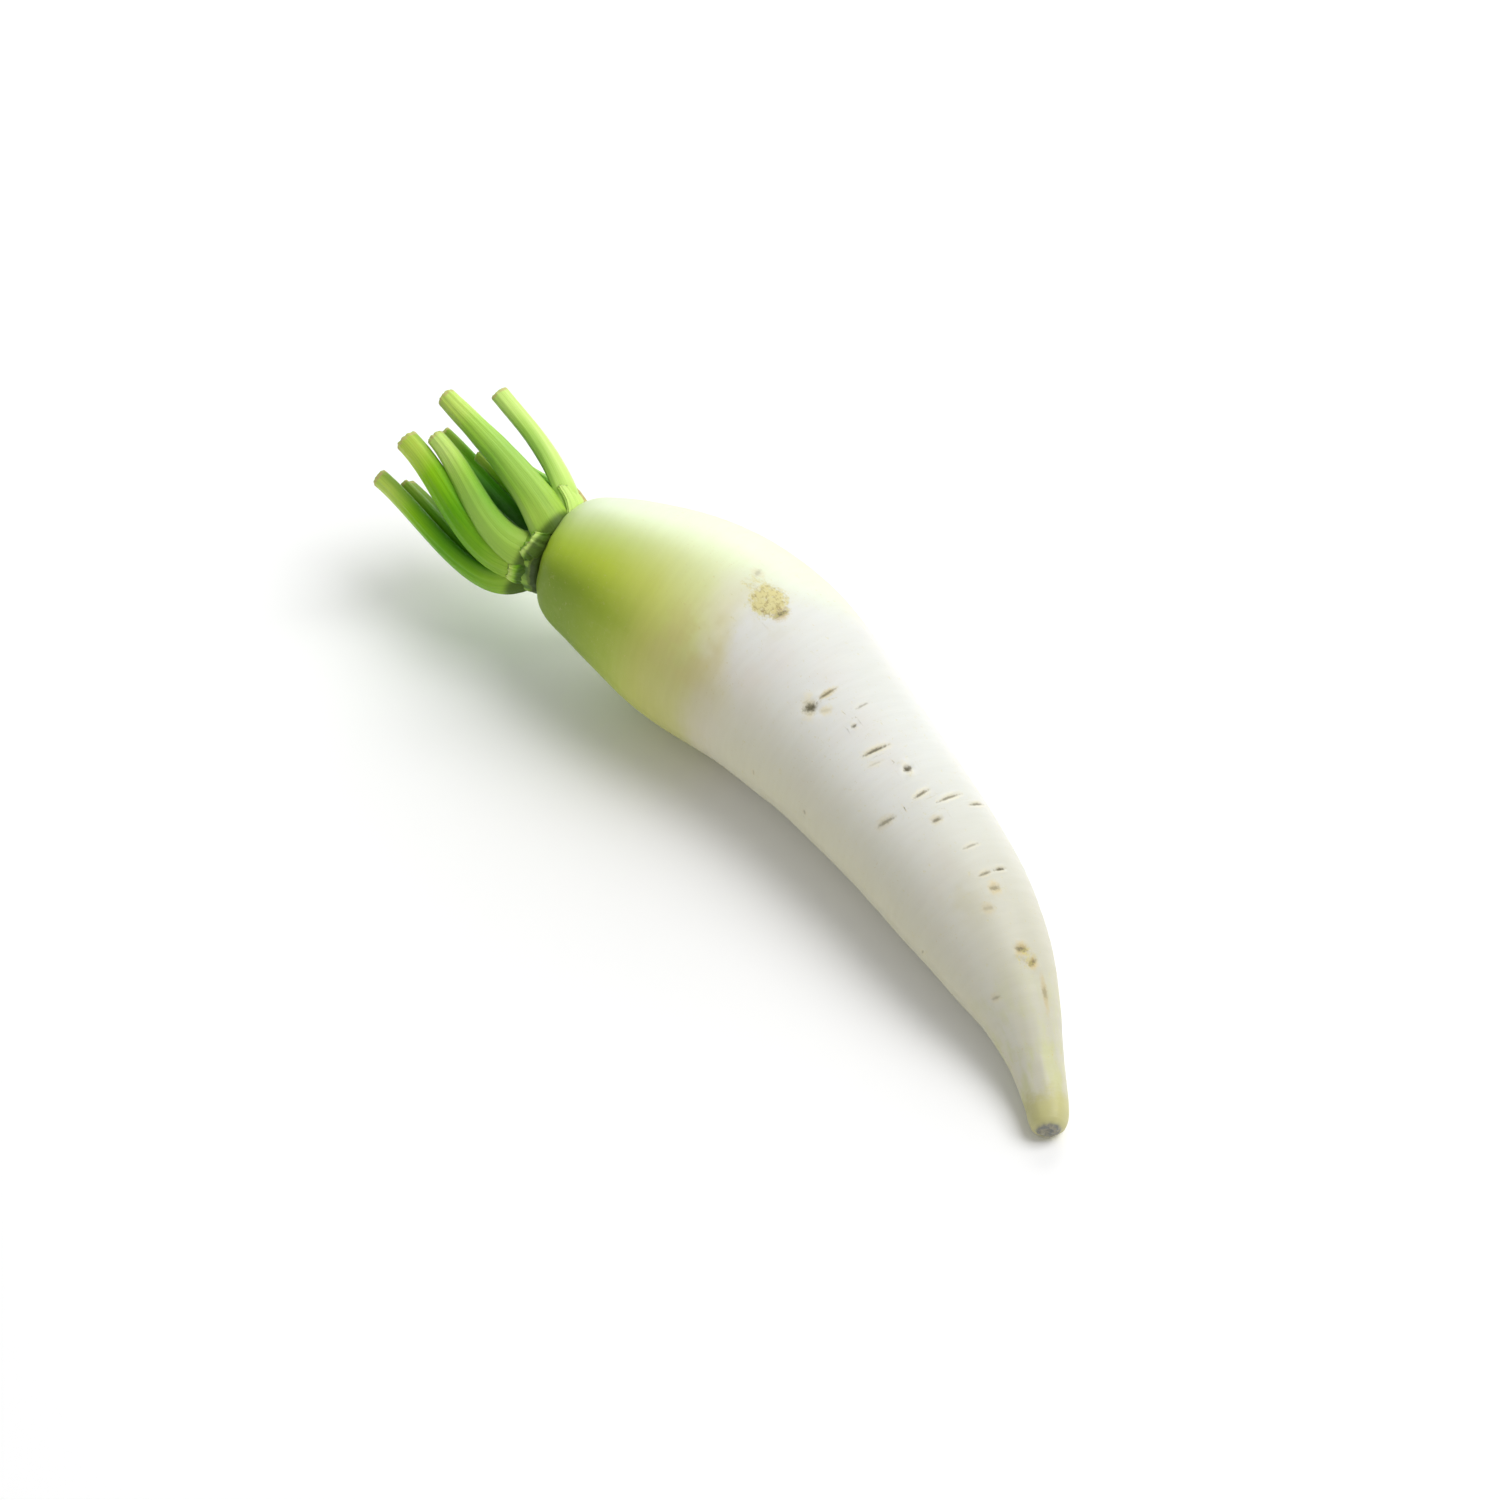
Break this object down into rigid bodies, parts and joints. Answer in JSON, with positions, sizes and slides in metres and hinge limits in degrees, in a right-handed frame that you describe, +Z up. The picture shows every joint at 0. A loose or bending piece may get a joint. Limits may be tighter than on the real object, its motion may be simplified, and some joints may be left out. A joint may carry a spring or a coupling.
{
  "type": "daikon radish",
  "caption": "Long tapering root vegetable with a green shoulder, a slight bend and a short tuft of trimmed leaf stalks, lying on its belly",
  "frame": {"origin": "on the flat of the belly that rests on the surface, under the root's thick middle", "axes": "+X towards the tail along the root's length, +Z up, +Y towards the outside of the root's bend"},
  "size_m": [0.3454, 0.0984, 0.0772],
  "materials": {
    "root_skin": "smooth waxy vegetable skin, white with a green shoulder and fine root scars",
    "stem_skin": "satin pale green stem skin with dry brown edges",
    "stalk_skin": "satin ribbed green stalk skin with pale cut ends",
    "cut_leaf_skin": "matte, partly dried cut leaf base"
  },
  "bodies": {
    "root": {"taproot": "root_skin", "stem": "stem_skin", "cut_leaf_base_1": "cut_leaf_skin", "cut_leaf_base_2": "cut_leaf_skin", "cut_leaf_base_3": "cut_leaf_skin", "cut_leaf_base_4": "cut_leaf_skin", "cut_leaf_base_5": "cut_leaf_skin", "leaf_stalk_1": "stalk_skin", "leaf_stalk_2": "stalk_skin", "leaf_stalk_3": "stalk_skin", "leaf_stalk_4": "stalk_skin", "leaf_stalk_5": "stalk_skin", "leaf_stalk_6": "stalk_skin", "leaf_stalk_7": "stalk_skin", "leaf_stalk_8": "stalk_skin", "leaf_stalk_9": "stalk_skin", "inner_leaf_stalk_1": "stalk_skin", "inner_leaf_stalk_2": "stalk_skin", "inner_leaf_stalk_3": "stalk_skin"}
  },
  "joints": []
}
